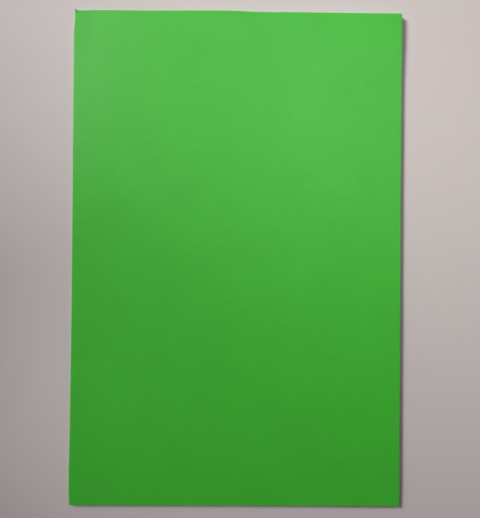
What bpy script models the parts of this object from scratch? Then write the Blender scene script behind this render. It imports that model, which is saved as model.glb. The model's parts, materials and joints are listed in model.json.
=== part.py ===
"""Craft foam sheet: one rectangle of soft closed-cell foam, lying on a level surface.

Metres, +Z up. X runs across the sheet and Y along it. The underside of the flat middle lies at
Z = 0, and the origin is in the middle of the sheet.
"""
import math

import bmesh
import bpy

# The sheet as it is cut
SHEET_WIDTH = 0.200
SHEET_LENGTH = 0.300
SHEET_THICKNESS = 0.002

# The cut edge: the blade enters at the top, so it rounds that edge more than the lower one
TOP_ARRIS_RADIUS = 0.00025
BOTTOM_ARRIS_RADIUS = 0.00010
CORNER_RADIUS = 0.00045
ARRIS_SHARE_LIMIT = 0.45    # of the thickness, so that the two arrises never meet
TOP_ARRIS_SEGMENTS = 2
BOTTOM_ARRIS_SEGMENTS = 1
CORNER_SEGMENTS = 3
SHARP_ANGLE = math.radians(45)

# How far the far end lies along +X from square with the near end
OUT_OF_SQUARE = 0.00045

# How far each cut wanders from a straight line, positive outwards. A bow is largest half way
# along the edge. A sway is largest a quarter of the way from each end, outwards on the side of
# +Y and inwards on the other.
LEFT_EDGE_BOW = -0.00053
LEFT_EDGE_SWAY = 0.00015
RIGHT_EDGE_BOW = -0.00011
BOTTOM_EDGE_BOW = -0.00016

# How far the blade drew the soft corner tips along X and Y, and how far in that reaches
CORNER_DRAW_REACH = 0.010
TOP_LEFT_DRAW = (0.00058, 0.00012)
TOP_RIGHT_DRAW = (0.00004, 0.00025)
BOTTOM_RIGHT_DRAW = (-0.00017, 0.00010)
BOTTOM_LEFT_DRAW = (0.00058, 0.00005)

# The ripple that lifts the far short edge. Its crest starts at this place on the edge and drifts
# towards +X as it fades into the sheet. It rises gently on the side of -X and falls faster on the other.
RIPPLE_LIFT = 0.00093
RIPPLE_CREST_X = -0.012
RIPPLE_RISE_SPAN = 0.060
RIPPLE_FALL_SPAN = 0.034
RIPPLE_REACH = 0.046
RIPPLE_DRIFT = 0.5

# A lower swell beside it on the same edge
SWELL_LIFT = 0.00036
SWELL_CREST_X = 0.040
SWELL_HALF_SPAN = 0.028
SWELL_REACH = 0.036

# The far corner at -X curls up a little
CURL_LIFT = 0.00025
CURL_REACH = 0.026

# Rows of faces that follow the waves, evenly spaced, and closer rows beside the cut edges
STEPS_ACROSS = 18
STEPS_ALONG = 28
EDGE_ROWS = 3

FOAM_COLOUR = (0.062, 0.390, 0.043, 1.0)
FOAM_ROUGHNESS = 0.85


def clear_scene():
    for thing in list(bpy.data.objects):
        bpy.data.objects.remove(thing, do_unlink=True)


def make_collection(name):
    collection = bpy.data.collections.new(name)
    bpy.context.scene.collection.children.link(collection)
    return collection


def foam_material():
    material = bpy.data.materials.new("foam")
    material.use_nodes = True
    shader = material.node_tree.nodes["Principled BSDF"]
    shader.inputs["Base Color"].default_value = FOAM_COLOUR
    shader.inputs["Roughness"].default_value = FOAM_ROUGHNESS
    shader.inputs["Metallic"].default_value = 0.0
    return material


def swell(distance, half_span):
    """1 at no distance, easing down to exactly 0 at half_span and beyond."""
    share = min(abs(distance) / half_span, 1.0)
    if share == 1.0:
        return 0.0
    return 0.5 + 0.5 * math.cos(math.pi * share)


def cut_places(size, steps):
    """Places across a side where rows of faces meet: even steps, then closer rows by each edge."""
    half = size / 2
    inner_half = half - CORNER_DRAW_REACH
    places = [-inner_half + 2 * inner_half * step / steps for step in range(steps + 1)]
    for row in range(1, EDGE_ROWS):
        beside_edge = inner_half + CORNER_DRAW_REACH * row / EDGE_ROWS
        places += [-beside_edge, beside_edge]
    return places


def slab_with_rows():
    """A box of the sheet's size, cut into rows both ways."""
    mesh = bmesh.new()
    bmesh.ops.create_cube(mesh, size=1.0)
    bmesh.ops.scale(mesh, verts=mesh.verts, vec=(SHEET_WIDTH, SHEET_LENGTH, SHEET_THICKNESS))
    bmesh.ops.translate(mesh, verts=mesh.verts, vec=(0.0, 0.0, SHEET_THICKNESS / 2))
    for x in cut_places(SHEET_WIDTH, STEPS_ACROSS):
        cut_at(mesh, (x, 0.0, 0.0), (1.0, 0.0, 0.0))
    for y in cut_places(SHEET_LENGTH, STEPS_ALONG):
        cut_at(mesh, (0.0, y, 0.0), (0.0, 1.0, 0.0))
    return mesh


def cut_at(mesh, point, normal):
    everything = mesh.verts[:] + mesh.edges[:] + mesh.faces[:]
    bmesh.ops.bisect_plane(mesh, geom=everything, plane_co=point, plane_no=normal)


def round_edges(mesh, edges, radius, segments):
    bmesh.ops.bevel(mesh, geom=edges, offset=radius, segments=segments, profile=0.5,
                    affect="EDGES", clamp_overlap=True)


def round_cut_edges(mesh):
    """Round the four upright corners, then the upper and the lower edge all round."""
    upright = [edge for edge in mesh.edges
               if abs(edge.verts[0].co.z - edge.verts[1].co.z) > SHEET_THICKNESS / 2
               and edge.calc_face_angle() > SHARP_ANGLE]
    round_edges(mesh, upright, CORNER_RADIUS, CORNER_SEGMENTS)
    largest = SHEET_THICKNESS * ARRIS_SHARE_LIMIT
    top_radius, bottom_radius = min(TOP_ARRIS_RADIUS, largest), min(BOTTOM_ARRIS_RADIUS, largest)
    round_edges(mesh, rim_edges(mesh, SHEET_THICKNESS), top_radius, TOP_ARRIS_SEGMENTS)
    round_edges(mesh, rim_edges(mesh, 0.0), bottom_radius, BOTTOM_ARRIS_SEGMENTS)


def rim_edges(mesh, height):
    """Edges at this height where the flat face meets the cut."""
    close = SHEET_THICKNESS / 1000
    return [edge for edge in mesh.edges
            if all(abs(vertex.co.z - height) < close for vertex in edge.verts)
            and edge.calc_face_angle() > SHARP_ANGLE]


def ripple_profile(past_crest):
    """The ripple's height across its crest: a long rise, then a shorter fall."""
    return swell(past_crest, RIPPLE_RISE_SPAN if past_crest < 0 else RIPPLE_FALL_SPAN)


def lift_at(x, y):
    """How far the lying sheet is lifted off the surface here."""
    from_far_edge = SHEET_LENGTH / 2 - y
    from_left_edge = SHEET_WIDTH / 2 + x
    crest_x = RIPPLE_CREST_X + RIPPLE_DRIFT * from_far_edge
    ripple = RIPPLE_LIFT * ripple_profile(x - crest_x) * swell(from_far_edge, RIPPLE_REACH)
    low_swell = SWELL_LIFT * swell(x - SWELL_CREST_X, SWELL_HALF_SPAN) * swell(from_far_edge, SWELL_REACH)
    curl = CURL_LIFT * swell(from_far_edge, CURL_REACH) * swell(from_left_edge, CURL_REACH)
    return ripple + low_swell + curl


def wander_at(x, y):
    """How far the cuts' wander moves this point along X and Y. It fades towards the middle."""
    across = max(-1.0, min(1.0, 2 * x / SHEET_WIDTH))
    along = max(-1.0, min(1.0, 2 * y / SHEET_LENGTH))
    bow_along, sway_along = math.cos(math.pi * along / 2), math.sin(math.pi * along)
    bow_across = math.cos(math.pi * across / 2)
    right = max(across, 0.0) * RIGHT_EDGE_BOW * bow_along
    left = max(-across, 0.0) * (LEFT_EDGE_BOW * bow_along + LEFT_EDGE_SWAY * sway_along)
    bottom = max(-along, 0.0) * BOTTOM_EDGE_BOW * bow_across
    skewed = OUT_OF_SQUARE * along / 2
    return right - left + skewed, -bottom


def draw_at(x, y):
    """How far the drawn corner tips move this point along X and Y."""
    draws = {(-1, 1): TOP_LEFT_DRAW, (1, 1): TOP_RIGHT_DRAW,
             (1, -1): BOTTOM_RIGHT_DRAW, (-1, -1): BOTTOM_LEFT_DRAW}
    moved_x = moved_y = 0.0
    for (side_x, side_y), (draw_x, draw_y) in draws.items():
        near = (swell(side_x * SHEET_WIDTH / 2 - x, CORNER_DRAW_REACH)
                * swell(side_y * SHEET_LENGTH / 2 - y, CORNER_DRAW_REACH))
        moved_x += draw_x * near
        moved_y += draw_y * near
    return moved_x, moved_y


def shape_as_it_lies(mesh):
    for vertex in mesh.verts:
        x, y = vertex.co.x, vertex.co.y
        wander_x, wander_y = wander_at(x, y)
        draw_x, draw_y = draw_at(x, y)
        vertex.co.x += wander_x + draw_x
        vertex.co.y += wander_y + draw_y
        vertex.co.z += lift_at(x, y)


def centre_on_origin(mesh):
    """Put the middle of the sheet's outline over the origin."""
    for axis in (0, 1):
        places = [vertex.co[axis] for vertex in mesh.verts]
        middle = (min(places) + max(places)) / 2
        for vertex in mesh.verts:
            vertex.co[axis] -= middle


def foam_sheet(collection):
    shape = slab_with_rows()
    round_cut_edges(shape)
    shape_as_it_lies(shape)
    centre_on_origin(shape)
    bmesh.ops.recalc_face_normals(shape, faces=shape.faces)
    mesh = bpy.data.meshes.new("foam_sheet")
    shape.to_mesh(mesh)
    shape.free()
    mesh.materials.append(foam_material())
    sheet = bpy.data.objects.new("foam_sheet", mesh)
    collection.objects.link(sheet)
    return sheet


clear_scene()
foam_sheet(make_collection("craft_foam_sheet"))
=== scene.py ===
import json
import math

import bmesh
import bpy
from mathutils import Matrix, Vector, noise


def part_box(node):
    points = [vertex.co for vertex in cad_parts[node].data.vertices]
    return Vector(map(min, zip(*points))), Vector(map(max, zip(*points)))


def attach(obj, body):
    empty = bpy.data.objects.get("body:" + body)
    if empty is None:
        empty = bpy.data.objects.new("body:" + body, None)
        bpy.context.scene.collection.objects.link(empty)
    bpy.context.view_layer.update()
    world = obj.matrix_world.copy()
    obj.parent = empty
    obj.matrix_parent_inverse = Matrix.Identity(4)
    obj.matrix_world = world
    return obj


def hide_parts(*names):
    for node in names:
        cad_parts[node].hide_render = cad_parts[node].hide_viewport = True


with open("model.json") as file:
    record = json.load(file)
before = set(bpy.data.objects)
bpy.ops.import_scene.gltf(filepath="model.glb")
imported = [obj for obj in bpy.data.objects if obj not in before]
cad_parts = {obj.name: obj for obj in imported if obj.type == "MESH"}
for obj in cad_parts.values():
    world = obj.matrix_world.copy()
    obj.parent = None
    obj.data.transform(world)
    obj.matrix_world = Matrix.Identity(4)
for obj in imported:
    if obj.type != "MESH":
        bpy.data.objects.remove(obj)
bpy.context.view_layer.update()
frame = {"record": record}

# Everything is in metres: X across the sheet, Y along it, Z up from the floor.
millimetre = 0.001


# Camera

# Held by hand over the middle of the sheet. The place and the tilt were found from the sheet's outline.
handheldCamera = {
    "place": (0.00072, -0.00273, 0.235),
    "tilt": (0.4445, -0.3628, 0.4259),    # degrees about X, Y and Z, 0 looks straight down
    "lens": 26.70,                        # mm, on a sensor 36 mm along its long side
    "sensor": 36.0,
    "clip": (0.01, 50.0),
}


def makeCamera(look):
    data = bpy.data.cameras.new("handheldCamera")
    data.lens = look["lens"]
    data.sensor_width = look["sensor"]
    data.clip_start, data.clip_end = look["clip"]
    camera = bpy.data.objects.new("handheldCamera", data)
    camera.location = look["place"]
    camera.rotation_euler = [math.radians(angle) for angle in look["tilt"]]
    bpy.context.scene.collection.objects.link(camera)
    bpy.context.scene.camera = camera


makeCamera(handheldCamera)
print("camera is set")


# Light

# A broad soft box at the upper left throws the thin shadow. Its grid narrows the beam, which is aimed
# past the right edge, so the left side is dimmer. A weaker box fills from the near left, and one high
# over the far end gives that end its gloss.
# azimuth is in degrees from +Y towards +X, height in degrees above the floor, wide and tall in metres,
# aim is the place on the floor that it faces, and spread is the angle of the beam in degrees.
softBoxes = {
    "windowBox": {"azimuth": -46.7, "height": 30.6, "distance": 1.20, "wide": 0.42, "tall": 0.40,
                  "aim": (0.313, -0.007), "spread": 31.8, "watts": 1.215, "colour": (1.0, 1.0, 1.0)},
    "nearBox": {"azimuth": -118.3, "height": 53.8, "distance": 0.308, "wide": 0.152, "tall": 0.403,
                "aim": (0.313, -0.498), "spread": 87.4, "watts": 0.161, "colour": (1.0, 1.0, 1.0)},
    "farBox": {"azimuth": 27.7, "height": 57.3, "distance": 0.907, "wide": 0.531, "tall": 0.098,
               "aim": (-0.216, 0.149), "spread": 66.7, "watts": 0.600, "colour": (0.98, 1.0, 1.06)},
}
softRoom = {
    "glow": (0.008, 0.005, 0.003),        # the little that the room adds, warm as the shadow is
    "backdrop": (0.440, 0.400, 0.385),    # what shows beyond the floor, in the floor's own tone
}


def makeSoftBox(name, look):
    data = bpy.data.lights.new(name, "AREA")
    data.shape = "RECTANGLE"
    data.size = look["wide"]
    data.size_y = look["tall"]
    data.spread = math.radians(look["spread"])
    data.energy = look["watts"]
    data.color = look["colour"]
    azimuth = math.radians(look["azimuth"])
    height = math.radians(look["height"])
    level = math.cos(height)
    away = Vector((math.sin(azimuth) * level, math.cos(azimuth) * level, math.sin(height)))
    light = bpy.data.objects.new(name, data)
    light.location = away * look["distance"]
    fromAim = light.location - Vector((*look["aim"], 0.0))
    light.rotation_euler = fromAim.to_track_quat("Z", "Y").to_euler()
    light.visible_camera = False
    bpy.context.scene.collection.objects.link(light)


def makeRoom(look):
    world = bpy.data.worlds.new("softRoom")
    world.use_nodes = True
    nodes = world.node_tree.nodes
    links = world.node_tree.links
    nodes.clear()
    glow = nodes.new("ShaderNodeBackground")
    glow.inputs["Color"].default_value = (*look["glow"], 1.0)
    backdrop = nodes.new("ShaderNodeBackground")
    backdrop.inputs["Color"].default_value = (*look["backdrop"], 1.0)
    path = nodes.new("ShaderNodeLightPath")
    mix = nodes.new("ShaderNodeMixShader")
    output = nodes.new("ShaderNodeOutputWorld")
    links.new(path.outputs["Is Camera Ray"], mix.inputs["Fac"])
    links.new(glow.outputs["Background"], mix.inputs[1])
    links.new(backdrop.outputs["Background"], mix.inputs[2])
    links.new(mix.outputs["Shader"], output.inputs["Surface"])
    bpy.context.scene.world = world


for boxName, boxLook in softBoxes.items():
    makeSoftBox(boxName, boxLook)
makeRoom(softRoom)
bpy.context.scene.view_settings.view_transform = "Standard"    # the greens stay as they are mixed
print("lights are set")


# Shared shader groups

# A noise has its scale, in features to the millimetre (to the cell for the tooth), and its detail.
groupLook = {
    "tooth": (2.6, 2.0),
    "patches": (0.035, 4.0),
    "mottle": (0.8, 2.0),
    "breaks": (0.55, 3.0),
    "breakRange": (0.35, 0.65),    # where that noise counts as hardly rubbed, and as fully rubbed
    "rubbed": (0.25, 1.0),         # how much is rubbed at those two
    "hollow": (0.05, 0.75),        # the way from the middle of a cell up to its wall, in cells
    "noiseMiddle": 0.5,            # the value of a noise that leaves the colour as it is
}


def newGroup(name, inputs, outputs):
    group = bpy.data.node_groups.new(name, "ShaderNodeTree")
    for label, kind, value in inputs:
        socket = group.interface.new_socket(name=label, in_out="INPUT", socket_type=kind)
        if value is not None:
            socket.default_value = value
    for label, kind in outputs:
        group.interface.new_socket(name=label, in_out="OUTPUT", socket_type=kind)
    entry = group.nodes.new("NodeGroupInput")
    leave = group.nodes.new("NodeGroupOutput")
    return group, entry, leave


def addMath(tree, operation, first, second, clamp=False):
    node = tree.nodes.new("ShaderNodeMath")
    node.operation = operation
    node.use_clamp = clamp
    for socket, value in zip(node.inputs, (first, second)):
        if isinstance(value, (int, float)):
            socket.default_value = value
        else:
            tree.links.new(value, socket)
    return node.outputs["Value"]


def addRange(tree, value, low, high, newLow, newHigh):
    node = tree.nodes.new("ShaderNodeMapRange")
    node.interpolation_type = "SMOOTHSTEP"
    node.inputs["From Min"].default_value = low
    node.inputs["From Max"].default_value = high
    node.inputs["To Min"].default_value = newLow
    node.inputs["To Max"].default_value = newHigh
    tree.links.new(value, node.inputs["Value"])
    return node.outputs["Result"]


def addNoise(tree, vector, scale, detail):
    node = tree.nodes.new("ShaderNodeTexNoise")
    node.inputs["Scale"].default_value = scale
    node.inputs["Detail"].default_value = detail
    tree.links.new(vector, node.inputs["Vector"])
    return node.outputs["Fac"]


def addScaled(tree, vector, factor):
    node = tree.nodes.new("ShaderNodeVectorMath")
    node.operation = "SCALE"
    tree.links.new(vector, node.inputs[0])
    if isinstance(factor, (int, float)):
        node.inputs["Scale"].default_value = factor
    else:
        tree.links.new(factor, node.inputs["Scale"])
    return node.outputs["Vector"]


# Closed cells packed side by side, with a finer tooth over them. Position is in millimetres.
def makeFoamCells():
    group, entry, leave = newGroup(
        "foamCells",
        [("Position", "NodeSocketVector", None), ("Cell Size", "NodeSocketFloat", 0.3),
         ("Open Share", "NodeSocketFloat", 0.3), ("Tooth", "NodeSocketFloat", 0.3)],
        [("Height", "NodeSocketFloat"), ("Pores", "NodeSocketFloat")])
    finer = addMath(group, "DIVIDE", 1.0, entry.outputs["Cell Size"])
    inCells = addScaled(group, entry.outputs["Position"], finer)
    cells = group.nodes.new("ShaderNodeTexVoronoi")
    cells.feature = "F1"
    cells.inputs["Scale"].default_value = 1.0
    group.links.new(inCells, cells.inputs["Vector"])
    hollow = addRange(group, cells.outputs["Distance"], *groupLook["hollow"], 0.0, 1.0)
    # some cells were sliced open and lie deeper than the others, and the materials paint shade inside them
    split = group.nodes.new("ShaderNodeSeparateColor")
    group.links.new(cells.outputs["Color"], split.inputs["Color"])
    opened = addMath(group, "LESS_THAN", split.outputs["Red"], entry.outputs["Open Share"])
    rounded = addMath(group, "SUBTRACT", 1.0, hollow)
    pores = addMath(group, "MULTIPLY", opened, rounded)
    tooth = addNoise(group, inCells, *groupLook["tooth"])
    toothHeight = addMath(group, "MULTIPLY", tooth, entry.outputs["Tooth"])
    walls = addMath(group, "SUBTRACT", hollow, pores)
    height = addMath(group, "ADD", walls, toothHeight)
    group.links.new(height, leave.inputs["Height"])
    group.links.new(pores, leave.inputs["Pores"])
    return group


# Dye that took a little unevenly: broad patches and a fine mottle, both as a share of the colour.
def makeDyeDrift():
    group, entry, leave = newGroup(
        "dyeDrift",
        [("Position", "NodeSocketVector", None), ("Colour", "NodeSocketColor", (0.5, 0.5, 0.5, 1.0)),
         ("Patches", "NodeSocketFloat", 0.02), ("Mottle", "NodeSocketFloat", 0.02)],
        [("Colour", "NodeSocketColor")])
    patches = addNoise(group, entry.outputs["Position"], *groupLook["patches"])
    mottle = addNoise(group, entry.outputs["Position"], *groupLook["mottle"])
    patchDrift = addMath(group, "SUBTRACT", patches, groupLook["noiseMiddle"])
    mottleDrift = addMath(group, "SUBTRACT", mottle, groupLook["noiseMiddle"])
    patchShare = addMath(group, "MULTIPLY", patchDrift, entry.outputs["Patches"])
    mottleShare = addMath(group, "MULTIPLY", mottleDrift, entry.outputs["Mottle"])
    strength = addMath(group, "ADD", addMath(group, "ADD", patchShare, mottleShare), 1.0)
    tinted = addScaled(group, entry.outputs["Colour"], strength)
    group.links.new(tinted, leave.inputs["Colour"])
    return group


# Where hands and blade have rubbed the colour lighter: broken patches that are strongest on the rim.
def makeRimScuff():
    group, entry, leave = newGroup(
        "rimScuff",
        [("Position", "NodeSocketVector", None), ("Rim", "NodeSocketFloat", 0.0),
         ("Colour", "NodeSocketColor", (0.5, 0.5, 0.5, 1.0)), ("Lighten", "NodeSocketFloat", 0.1)],
        [("Colour", "NodeSocketColor")])
    noisy = addNoise(group, entry.outputs["Position"], *groupLook["breaks"])
    breaks = addRange(group, noisy, *groupLook["breakRange"], *groupLook["rubbed"])
    mask = addMath(group, "MULTIPLY", entry.outputs["Rim"], breaks, clamp=True)
    lighter = addMath(group, "MULTIPLY", mask, entry.outputs["Lighten"])
    strength = addMath(group, "ADD", lighter, 1.0)
    tinted = addScaled(group, entry.outputs["Colour"], strength)
    group.links.new(tinted, leave.inputs["Colour"])
    return group


foamCells = makeFoamCells()
dyeDrift = makeDyeDrift()
rimScuff = makeRimScuff()
print("shader groups are built")


# Foam materials

foamSkin = {
    "colour": (0.0544, 0.486, 0.0327),
    "gloss": 0.44,            # Specular IOR Level
    "roughness": 0.50,
    "roughnessSpread": 0.08,
    "patches": 0.14,          # how far the dye drifts in broad patches
    "mottle": 0.20,           # and in fine ones
    "cellSize": 0.30,         # mm
    "openShare": 0.16,        # of the cells, sliced open
    "tooth": 0.35,            # height of the fine grain beside that of the cells
    "cellDepth": 0.014,       # mm
    "poreShade": 0.10,        # painted shade inside a sliced cell, how much darker its colour is made
    "pitShade": 0.70,         # painted shade inside a pit, how much darker its colour is made
    "scuff": 0.09,            # how much lighter the rubbed rim is
}
foamCut = {
    "colour": (0.060, 0.490, 0.036),
    "gloss": 0.25,
    "roughness": 0.80,
    "roughnessSpread": 0.12,
    "patches": 0.05,
    "mottle": 0.10,
    "cellSize": 0.26,
    "openShare": 0.55,
    "tooth": 0.50,
    "cellDepth": 0.035,
    # painted shade inside a sliced cell, how much darker its colour is made
    "poreShade": 0.28,
    "scuff": 0.10,
    "dragSpacing": 0.45,      # mm between the lines that the blade left
    "dragDepth": 0.030,       # mm
    "dragChange": 0.12,       # how fast a line changes down the cut, in features to the millimetre
    "dragDetail": 2.0,
}
cellMiddle = 0.6              # the cells' height at which the roughness is as given


def placeGroup(tree, group, values, links):
    node = tree.nodes.new("ShaderNodeGroup")
    node.node_tree = group
    for label, value in values.items():
        node.inputs[label].default_value = value
    for label, source in links.items():
        tree.links.new(source, node.inputs[label])
    return node


def makeFoamMaterial(name, look):
    material = bpy.data.materials.new(name)
    material.use_nodes = True
    tree = material.node_tree
    shader = tree.nodes["Principled BSDF"]
    shader.inputs["Specular IOR Level"].default_value = look["gloss"]
    place = tree.nodes.new("ShaderNodeTexCoord")
    position = addScaled(tree, place.outputs["Object"], 1.0 / millimetre)
    rim = tree.nodes.new("ShaderNodeAttribute")
    rim.attribute_name = "rimShare"

    cellValues = {"Cell Size": look["cellSize"], "Open Share": look["openShare"], "Tooth": look["tooth"]}
    cells = placeGroup(tree, foamCells, cellValues, {"Position": position})
    dyeValues = {"Colour": (*look["colour"], 1.0), "Patches": look["patches"], "Mottle": look["mottle"]}
    dyed = placeGroup(tree, dyeDrift, dyeValues, {"Position": position})
    scuffLinks = {"Position": position, "Rim": rim.outputs["Fac"], "Colour": dyed.outputs["Colour"]}
    scuffed = placeGroup(tree, rimScuff, {"Lighten": look["scuff"]}, scuffLinks)

    # painted shade: the sliced cells, which lie deeper, are made darker inside
    porePaintedShade = addMath(tree, "MULTIPLY", cells.outputs["Pores"], look["poreShade"])
    shade = addMath(tree, "SUBTRACT", 1.0, porePaintedShade)
    # painted shade: the pits are made darker inside, where shade would fall
    if "pitShade" in look:
        pit = tree.nodes.new("ShaderNodeAttribute")
        pit.attribute_name = "pitShare"
        pitPaintedShade = addMath(tree, "MULTIPLY", pit.outputs["Fac"], look["pitShade"])
        shade = addMath(tree, "SUBTRACT", shade, pitPaintedShade)
    colour = addScaled(tree, scuffed.outputs["Colour"], shade)
    tree.links.new(colour, shader.inputs["Base Color"])

    fromMiddle = addMath(tree, "SUBTRACT", cells.outputs["Height"], cellMiddle)
    spread = addMath(tree, "MULTIPLY", fromMiddle, look["roughnessSpread"])
    roughness = addMath(tree, "ADD", spread, look["roughness"])
    tree.links.new(roughness, shader.inputs["Roughness"])

    relief = addMath(tree, "MULTIPLY", cells.outputs["Height"], look["cellDepth"])
    if "dragDepth" in look:
        relief = addMath(tree, "ADD", relief, addDragLines(tree, position, look))
    bump = tree.nodes.new("ShaderNodeBump")
    bump.inputs["Distance"].default_value = millimetre
    bump.inputs["Strength"].default_value = 1.0
    tree.links.new(relief, bump.inputs["Height"])
    tree.links.new(bump.outputs["Normal"], shader.inputs["Normal"])
    return material


# Lines down the cut, close together along the edge and long across it.
def addDragLines(tree, position, look):
    squeeze = tree.nodes.new("ShaderNodeMapping")
    along = 1.0 / look["dragSpacing"]
    squeeze.inputs["Scale"].default_value = (along, along, look["dragChange"])
    tree.links.new(position, squeeze.inputs["Vector"])
    lines = addNoise(tree, squeeze.outputs["Vector"], 1.0, look["dragDetail"])
    return addMath(tree, "MULTIPLY", lines, look["dragDepth"])


skinMaterial = makeFoamMaterial("foamSkin", foamSkin)
cutMaterial = makeFoamMaterial("foamCut", foamCut)
print("foam materials are mixed")


# Foam sheet

mounts = {mount["name"]: mount for mount in frame["record"]["mounts"]}
foamSheet = {
    "width": 0.200,
    "length": 0.300,
    "thickness": mounts["top_face"]["pos_m"][2] - mounts["underside"]["pos_m"][2],
    "step": 0.00125,                      # between the rows of the fine surface
    "edgeRows": (0.0006, 0.0013),         # closer rows, this far in from each cut

    # the cut edge: the blade comes in from above and rounds that edge more
    "topRound": 0.00025,
    "bottomRound": 0.00010,
    "cornerRound": 0.00045,
    "topSegments": 4,
    "bottomSegments": 2,
    "cornerSegments": 4,
    "wallRows": 4,

    # how the cuts wander from straight and square, as the CAD has it
    "outOfSquare": 0.00045,
    "leftBow": -0.00053,
    "leftSway": 0.00015,
    "rightBow": -0.00011,
    "bottomBow": -0.00016,
    # how far each soft corner tip was drawn along X and Y, and how far in that reaches
    "draws": {(-1, 1): (0.00085, -0.00060, 0.016), (1, 1): (-0.00031, -0.00047, 0.050),
              (1, -1): (-0.00017, 0.00010, 0.010), (-1, -1): (0.00058, 0.00005, 0.010)},

    # How it lifts off the floor at its far end: pairs of a place along that edge and its lift, in mm.
    # The ripple's crest is the CAD's, with the steeper fall and the lower swells that the photo shows.
    "farLifts": [(-100, 0.08), (-84, 0.17), (-74, 0.24), (-61, 0.21), (-50, 0.31), (-38, 0.54), (-27, 0.79),
                 (-16, 0.95), (-9, 0.95), (-3, 0.83), (3, 0.55), (9, 0.26), (15, 0.11), (21, 0.08),
                 (30, 0.17), (40, 0.20), (53, 0.09), (66, 0.14), (78, 0.07), (90, 0.04), (100, 0.0)],
    "farReach": 0.062,
    "farDrift": 0.42,             # how far a crest moves along +X for each step into the sheet
    "farShift": -0.00010,         # the lifted edge is drawn in a little
    # the far corners turn up: how high, and how far in that reaches along X and Y
    "curls": {-1: (0.00040, 0.012, 0.034), 1: (0.00080, 0.050, 0.050)},

    # What is too fine for the CAD. The sheet is soft, was cut with one pull of a blade and was handled.
    "waveLift": 0.00014,          # low waves left from the roll, which never press quite flat
    "waveLength": 0.105,
    "waveSqueeze": 1.6,           # how much closer together they are along Y
    "waveSlice": 3.0,             # which slice of the noise they are
    "dimpleDepth": 0.000022,      # a faint unevenness from the splitting knife
    "dimpleSize": 0.009,
    "dimpleSlice": 7.0,
    "wallHollow": 0.00011,        # the cut springs back a little hollow
    "wallWander": 0.00007,        # and its line wanders with the foam's give
    "wanderLength": 0.007,
    "wanderDown": 0.4,            # how fast it changes down the cut, beside along it
    "wanderOctaves": 3,
    "rimReach": 0.0016,           # how far in from the cut the rim is rubbed

    # the small burr at the corner where the blade went in
    "burrCorner": (-1, 1),
    "burrReach": 0.0022,
    "burrFade": 1.5,
    "burrLift": 0.00085,
    "burrPull": (0.00012, 0.00043),

    # small pits in the upper face: where along X and Y, and how strong
    "pits": [(0.0109, 0.0883, 0.82), (-0.0342, 0.0933, 0.90), (-0.0611, -0.0170, 0.68),
             (-0.0156, 0.1345, 0.55), (0.0006, 0.0023, 0.38), (-0.0573, 0.0243, 0.28),
             (0.0888, -0.1148, 0.30)],
    "pitRadius": 0.00070,
    "pitDepth": 0.00024,
    "pitRows": 5,                 # extra rows in each face around a pit
}

sharpAngle = math.radians(45)     # an edge sharper than this is one of the slab's own
wallAngle = math.radians(50)      # a face that turns further than this from level belongs to the cut
upperShare = 0.9                  # what lies above this share of the thickness belongs to the upper face
leastRise = 0.1 * millimetre      # between the ends of an upright edge
tiny = 0.001 * millimetre         # what counts as no distance


def swell(distance, halfSpan):
    share = min(abs(distance) / halfSpan, 1.0)
    if share == 1.0:
        return 0.0
    return 0.5 + 0.5 * math.cos(math.pi * share)


# A smooth line through the points, level beyond both ends.
def curveAt(points, place):
    if place <= points[0][0]:
        return points[0][1]
    if place >= points[-1][0]:
        return points[-1][1]
    after = next(number for number, point in enumerate(points) if point[0] >= place)
    around = [points[max(0, min(len(points) - 1, after + shift))] for shift in (-2, -1, 0, 1)]
    (farLeft, lowLeft), (left, start), (right, end), (farRight, lowRight) = around
    span = right - left
    share = (place - left) / span
    leaving = (end - lowLeft) / (right - farLeft) * span
    arriving = (lowRight - start) / (farRight - left) * span
    return (start + share * leaving
            + share ** 2 * (3 * (end - start) - 2 * leaving - arriving)
            + share ** 3 * (2 * (start - end) + leaving + arriving))


def liftAt(look, x, y):
    fromFar = look["length"] / 2 - y
    along = (x - look["farDrift"] * fromFar) / millimetre
    lift = curveAt(look["farLifts"], along) * millimetre * swell(fromFar, look["farReach"])
    for side, (curl, reachX, reachY) in look["curls"].items():
        lift += curl * swell(side * look["width"] / 2 - x, reachX) * swell(fromFar, reachY)
    return lift


def wanderAt(look, x, y):
    across = max(-1.0, min(1.0, 2 * x / look["width"]))
    along = max(-1.0, min(1.0, 2 * y / look["length"]))
    bowAlong = math.cos(math.pi * along / 2)
    bowAcross = math.cos(math.pi * across / 2)
    right = max(across, 0.0) * look["rightBow"] * bowAlong
    left = max(-across, 0.0) * (look["leftBow"] * bowAlong + look["leftSway"] * math.sin(math.pi * along))
    bottom = max(-along, 0.0) * look["bottomBow"] * bowAcross
    movedX = right - left + look["outOfSquare"] * along / 2
    movedY = max(along, 0.0) * look["farShift"] - bottom
    for (sideX, sideY), (drawX, drawY, reach) in look["draws"].items():
        near = swell(sideX * look["width"] / 2 - x, reach) * swell(sideY * look["length"] / 2 - y, reach)
        movedX += drawX * near
        movedY += drawY * near
    return movedX, movedY


def rowPlaces(size, look):
    half = size / 2
    inner = half - look["edgeRows"][-1]
    count = round(2 * inner / look["step"])
    places = [-inner + 2 * inner * row / count for row in range(count + 1)]
    for fromEdge in (0.0, *look["edgeRows"][:-1]):
        places += [-(half - fromEdge), half - fromEdge]
    return sorted(places)


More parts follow.
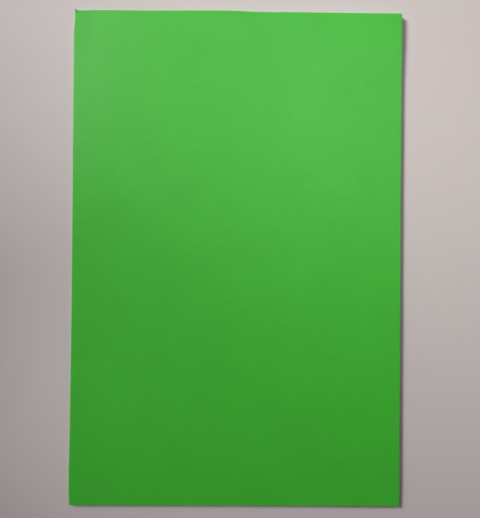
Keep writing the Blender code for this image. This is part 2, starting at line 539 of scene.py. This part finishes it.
# A grid of the upper face, thickened downwards, with rows down its walls.
def makeSlab(look):
    shape = bmesh.new()
    acrossPlaces = rowPlaces(look["width"], look)
    alongPlaces = rowPlaces(look["length"], look)
    grid = [[shape.verts.new((x, y, look["thickness"])) for x in acrossPlaces] for y in alongPlaces]
    for row in range(len(alongPlaces) - 1):
        for column in range(len(acrossPlaces) - 1):
            shape.faces.new((grid[row][column], grid[row][column + 1],
                             grid[row + 1][column + 1], grid[row + 1][column]))
    upper = list(shape.faces)
    lowered = bmesh.ops.extrude_face_region(shape, geom=upper, use_keep_orig=True)["geom"]
    lowerVerts = [part for part in lowered if isinstance(part, bmesh.types.BMVert)]
    bmesh.ops.translate(shape, verts=lowerVerts, vec=(0.0, 0.0, -look["thickness"]))
    bmesh.ops.recalc_face_normals(shape, faces=shape.faces)
    return shape


def roundEdges(shape, edges, radius, segments):
    bmesh.ops.bevel(shape, geom=edges, offset=radius, segments=segments, profile=0.5,
                    affect="EDGES", clamp_overlap=True)


def uprightEdges(shape):
    return [edge for edge in shape.edges
            if abs(edge.verts[0].co.z - edge.verts[1].co.z) > leastRise]


def rimEdges(shape, height):
    return [edge for edge in shape.edges
            if all(abs(vertex.co.z - height) < tiny for vertex in edge.verts)
            and edge.is_manifold and edge.calc_face_angle() > sharpAngle]


def roundSlab(shape, look):
    corners = [edge for edge in uprightEdges(shape) if edge.calc_face_angle() > sharpAngle]
    roundEdges(shape, corners, look["cornerRound"], look["cornerSegments"])
    roundEdges(shape, rimEdges(shape, look["thickness"]), look["topRound"], look["topSegments"])
    roundEdges(shape, rimEdges(shape, 0.0), look["bottomRound"], look["bottomSegments"])
    tall = [edge for edge in uprightEdges(shape)
            if abs(edge.verts[0].co.z - edge.verts[1].co.z) > look["thickness"] / 2]
    bmesh.ops.subdivide_edges(shape, edges=tall, cuts=look["wallRows"] - 1, use_grid_fill=True)


# How close each point lies to the cut, from 0 to 1, kept with the mesh for the materials.
def markRim(shape, look):
    layer = shape.verts.layers.float.new("rimShare")
    for vertex in shape.verts:
        inside = min(look["width"] / 2 - abs(vertex.co.x), look["length"] / 2 - abs(vertex.co.y))
        vertex[layer] = swell(inside, look["rimReach"])


# Finer faces around each pit, pressed in. How deep each point lies is kept with the mesh too, and the
# material paints shade into the pits by it.
def pressPits(shape, look):
    upper = look["thickness"] * upperShare
    reach = look["pitRadius"] + look["step"]
    near = set()
    for face in shape.faces:
        middle = face.calc_center_median()
        if middle.z <= upper:
            continue
        if any(math.dist(middle[:2], pit[:2]) < reach for pit in look["pits"]):
            near.update(face.edges)
    bmesh.ops.subdivide_edges(shape, edges=list(near), cuts=look["pitRows"], use_grid_fill=True)
    layer = shape.verts.layers.float.new("pitShare")
    for vertex in shape.verts:
        if vertex.co.z < upper:
            continue
        for x, y, strength in look["pits"]:
            share = strength * swell(math.dist(vertex.co[:2], (x, y)), look["pitRadius"])
            vertex.co.z -= look["pitDepth"] * share
            vertex[layer] = max(vertex[layer], share)


# Which way is out of the sheet, seen from above. It is zero further in than a corner's round.
def outwardsAt(look, x, y):
    innerX = look["width"] / 2 - look["cornerRound"]
    innerY = look["length"] / 2 - look["cornerRound"]
    away = Vector((x - max(-innerX, min(innerX, x)), y - max(-innerY, min(innerY, y)), 0.0))
    return away.normalized() if away.length > tiny else Vector((0.0, 0.0, 0.0))


def roughenCut(shape, look):
    for vertex in shape.verts:
        outwards = outwardsAt(look, vertex.co.x, vertex.co.y)
        if outwards.length == 0.0:
            continue
        height = min(max(vertex.co.z / look["thickness"], 0.0), 1.0)
        place = Vector((vertex.co.x, vertex.co.y, vertex.co.z * look["wanderDown"])) / look["wanderLength"]
        wander = look["wallWander"] * noise.fractal(place, 1.0, 2.0, look["wanderOctaves"])
        vertex.co += outwards * (wander - look["wallHollow"] * math.sin(math.pi * height))


# Low waves, and a faint unevenness that presses both faces in. The underside only ever moves up.
def softenFaces(shape, look):
    for vertex in shape.verts:
        x, y = vertex.co.x, vertex.co.y
        wavePlace = Vector((x, y * look["waveSqueeze"], look["waveSlice"])) / look["waveLength"]
        dimplePlace = Vector((x, y, look["dimpleSlice"])) / look["dimpleSize"]
        wave = 0.5 + 0.5 * noise.noise(wavePlace)
        dimple = 0.5 + 0.5 * noise.noise(dimplePlace)
        upper = vertex.co.z > look["thickness"] / 2
        pressed = look["dimpleDepth"] * (-dimple if upper else dimple)
        vertex.co.z += look["waveLift"] * max(wave, 0.0) + pressed


# The blade pulled a burr up at one corner. The lowest quarter stays where it is.
def pullBurr(shape, look):
    sideX, sideY = look["burrCorner"]
    for vertex in shape.verts:
        if vertex.co.z < look["thickness"] / 4:
            continue
        away = math.dist(vertex.co[:2], (sideX * look["width"] / 2, sideY * look["length"] / 2))
        share = swell(away, look["burrReach"]) ** look["burrFade"]
        vertex.co += Vector((*look["burrPull"], look["burrLift"])) * share


def layOnFloor(shape, look):
    for vertex in shape.verts:
        x, y = vertex.co.x, vertex.co.y
        movedX, movedY = wanderAt(look, x, y)
        vertex.co.x += movedX
        vertex.co.y += movedY
        vertex.co.z += liftAt(look, x, y)


# The middle of the outline comes over the middle of the CAD sheet, and the lowest point down to its foot.
def centreOnNode(shape, node):
    low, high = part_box(node)
    places = [[vertex.co[axis] for vertex in shape.verts] for axis in range(3)]
    shift = [(low[axis] + high[axis]) / 2 - (min(places[axis]) + max(places[axis])) / 2 for axis in (0, 1)]
    shift.append(low[2] - min(places[2]))
    bmesh.ops.translate(shape, verts=shape.verts, vec=shift)


def makeFoamSheet(look):
    shape = makeSlab(look)
    roundSlab(shape, look)
    pressPits(shape, look)
    markRim(shape, look)
    roughenCut(shape, look)
    softenFaces(shape, look)
    pullBurr(shape, look)
    layOnFloor(shape, look)
    centreOnNode(shape, "foam_sheet")
    bmesh.ops.recalc_face_normals(shape, faces=shape.faces)
    mesh = bpy.data.meshes.new("craftFoamSheet")
    shape.to_mesh(mesh)
    shape.free()
    mesh.shade_smooth()
    mesh.materials.append(skinMaterial)
    mesh.materials.append(cutMaterial)
    levelness = math.cos(wallAngle)
    for face in mesh.polygons:
        face.material_index = 1 if abs(face.normal.z) < levelness else 0
    piece = bpy.data.objects.new("craftFoamSheet", mesh)
    bpy.context.scene.collection.objects.link(piece)
    return piece


sheetPiece = makeFoamSheet(foamSheet)
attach(sheetPiece, "root")
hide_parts("foam_sheet")
print("foam sheet is laid:", len(sheetPiece.data.polygons), "faces")


# Floor

paleFloor = {
    "halfSize": 0.60,
    "fade": (0.225, 0.52),        # how far from the middle it starts to thin out, and where it has gone
    "colour": (0.626, 0.562, 0.540),
    "gloss": 0.12,                # Specular IOR Level
    "roughness": 0.85,
    "drift": 0.03,                # how far its colour drifts
}


def makeFloor(look):
    material = bpy.data.materials.new("paleFloor")
    material.use_nodes = True
    tree = material.node_tree
    shader = tree.nodes["Principled BSDF"]
    place = tree.nodes.new("ShaderNodeTexCoord")
    position = addScaled(tree, place.outputs["Object"], 1.0 / millimetre)
    driftValues = {"Colour": (*look["colour"], 1.0), "Patches": look["drift"], "Mottle": look["drift"]}
    drift = placeGroup(tree, dyeDrift, driftValues, {"Position": position})
    tree.links.new(drift.outputs["Colour"], shader.inputs["Base Color"])
    shader.inputs["Roughness"].default_value = look["roughness"]
    shader.inputs["Specular IOR Level"].default_value = look["gloss"]
    away = tree.nodes.new("ShaderNodeVectorMath")
    away.operation = "LENGTH"
    tree.links.new(place.outputs["Object"], away.inputs[0])
    solid = addRange(tree, away.outputs["Value"], *look["fade"], 1.0, 0.0)
    tree.links.new(solid, shader.inputs["Alpha"])
    shape = bmesh.new()
    bmesh.ops.create_grid(shape, x_segments=1, y_segments=1, size=look["halfSize"])
    mesh = bpy.data.meshes.new("paleFloor")
    shape.to_mesh(mesh)
    shape.free()
    mesh.materials.append(material)
    floor = bpy.data.objects.new("paleFloor", mesh)
    bpy.context.scene.collection.objects.link(floor)


makeFloor(paleFloor)
print("floor is down")
